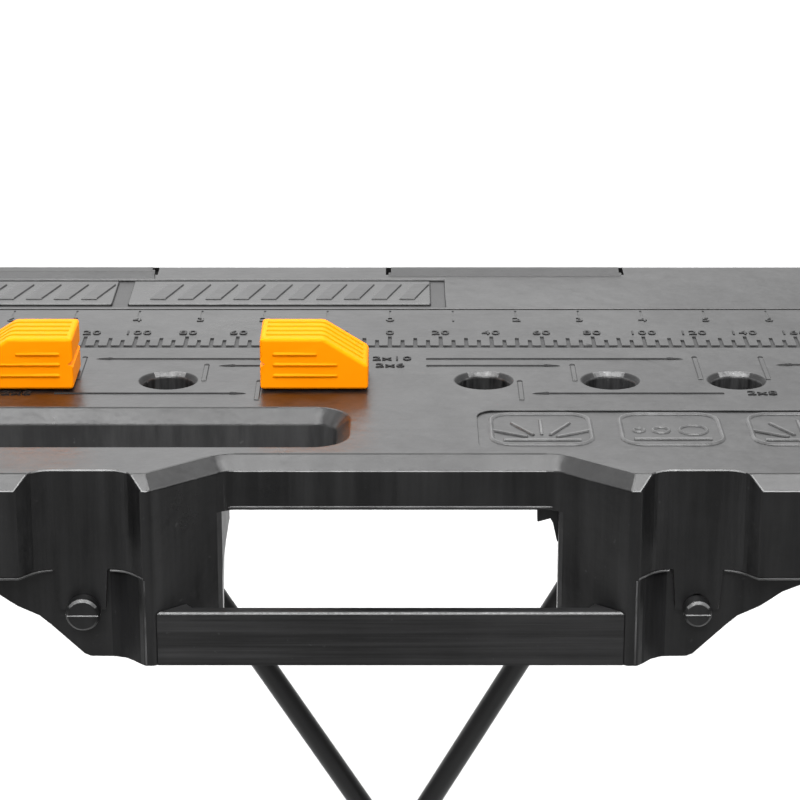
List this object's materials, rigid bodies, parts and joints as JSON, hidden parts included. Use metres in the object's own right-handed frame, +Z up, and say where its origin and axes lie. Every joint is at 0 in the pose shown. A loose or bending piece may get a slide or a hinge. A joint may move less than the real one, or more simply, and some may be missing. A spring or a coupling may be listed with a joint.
{
  "type": "folding workbench",
  "caption": "Compact folding workbench: moulded plastic top with carry handle, ruler, clamp slot, dog holes and bench dogs, on splayed steel leg frames with a crossed brace.",
  "frame": {"origin": "on the floor under the middle of the bench's box", "axes": "+Z up, +X to the right along the top's width, +Y backwards from the handle side"},
  "size_m": [0.64, 0.5712, 0.8103],
  "materials": {
    "black_plastic": "satin moulded black",
    "orange_plastic": "smooth moulded orange",
    "coated_steel": "black powder coat",
    "zinc_steel": "zinc plated",
    "rubber": "moulded black"
  },
  "bodies": {
    "top": {"tabletop": "black_plastic", "carry_handle_bar": "black_plastic", "handle_screw_left": "zinc_steel", "handle_screw_right": "zinc_steel", "peg_left": "black_plastic", "peg_clip_left": "zinc_steel", "peg_right": "black_plastic", "peg_clip_right": "zinc_steel", "front_bracket_left": "coated_steel", "rear_bracket_left": "coated_steel", "front_pivot_pin_left": "zinc_steel", "rear_pivot_pin_left": "zinc_steel", "front_bracket_right": "coated_steel", "rear_bracket_right": "coated_steel", "front_pivot_pin_right": "zinc_steel", "rear_pivot_pin_right": "zinc_steel", "front_bracket_screw_left_a": "zinc_steel", "rear_bracket_screw_left_a": "zinc_steel", "front_bracket_screw_left_b": "zinc_steel", "rear_bracket_screw_left_b": "zinc_steel", "front_bracket_screw_right_a": "zinc_steel", "rear_bracket_screw_right_a": "zinc_steel", "front_bracket_screw_right_b": "zinc_steel", "rear_bracket_screw_right_b": "zinc_steel"},
    "front_legs": {"front_leg_left": "coated_steel", "front_foot_left": "rubber", "front_leg_plug_left": "black_plastic", "front_leg_right": "coated_steel", "front_foot_right": "rubber", "front_leg_plug_right": "black_plastic", "front_crossbar": "coated_steel", "stay_stud_left": "zinc_steel", "stay_stud_right": "zinc_steel"},
    "rear_legs": {"rear_leg_left": "coated_steel", "rear_foot_left": "rubber", "rear_leg_plug_left": "black_plastic", "rear_leg_right": "coated_steel", "rear_foot_right": "rubber", "rear_leg_plug_right": "black_plastic", "rear_upper_crossbar": "coated_steel", "rear_lower_crossbar": "coated_steel", "brace_rod_left": "coated_steel", "brace_rod_right": "coated_steel", "brace_rivet": "zinc_steel", "stay_pin_left": "zinc_steel", "stay_pin_right": "zinc_steel"},
    "stay_left": {"side_stay_left": "coated_steel"},
    "stay_right": {"side_stay_right": "coated_steel"},
    "dog_ring_left": {"dog_ring_left": "rubber"},
    "dog_ring_right": {"dog_ring_right": "rubber"},
    "dog_left": {"bench_dog_left": "orange_plastic"},
    "dog_right": {"bench_dog_right": "orange_plastic"}
  },
  "joints": [
    {"name": "front_fold", "type": "hinge", "parent": "top", "child": "front_legs", "pos_m": [0, -0.03865, 0.705], "axis": [1, 0, 0], "range_deg": [0, 108]},
    {"name": "rear_fold", "type": "hinge", "parent": "top", "child": "rear_legs", "pos_m": [0, 0.11135, 0.738], "axis": [1, 0, 0], "range_deg": [0, 78]},
    {"name": "stay_left_swing", "type": "hinge", "parent": "rear_legs", "child": "stay_left", "pos_m": [-0.278, 0.16486, 0.48626], "axis": [1, 0, 0], "range_deg": [-78, 0]},
    {"name": "stay_right_swing", "type": "hinge", "parent": "rear_legs", "child": "stay_right", "pos_m": [0.278, 0.16486, 0.48626], "axis": [1, 0, 0], "range_deg": [-78, 0]},
    {"name": "dog_left_lift", "type": "slide", "parent": "top", "child": "dog_ring_left", "axis": [0, 0, 1], "range_m": [0, 0.045]},
    {"name": "dog_left_turn", "type": "hinge", "parent": "dog_ring_left", "child": "dog_left", "pos_m": [-0.1309, 0.01385, 0.79], "axis": [0, 0, 1], "continuous": true},
    {"name": "dog_right_lift", "type": "slide", "parent": "top", "child": "dog_ring_right", "axis": [0, 0, 1], "range_m": [0, 0.045]},
    {"name": "dog_right_turn", "type": "hinge", "parent": "dog_ring_right", "child": "dog_right", "pos_m": [-0.0357, 0.01385, 0.79], "axis": [0, 0, 1], "continuous": true}
  ],
  "couplings": [
    {"joint": "rear_fold", "follows": "front_fold", "ratio": 0.72222},
    {"joint": "stay_left_swing", "follows": "front_fold", "ratio": -0.72222},
    {"joint": "stay_right_swing", "follows": "front_fold", "ratio": -0.72222}
  ]
}
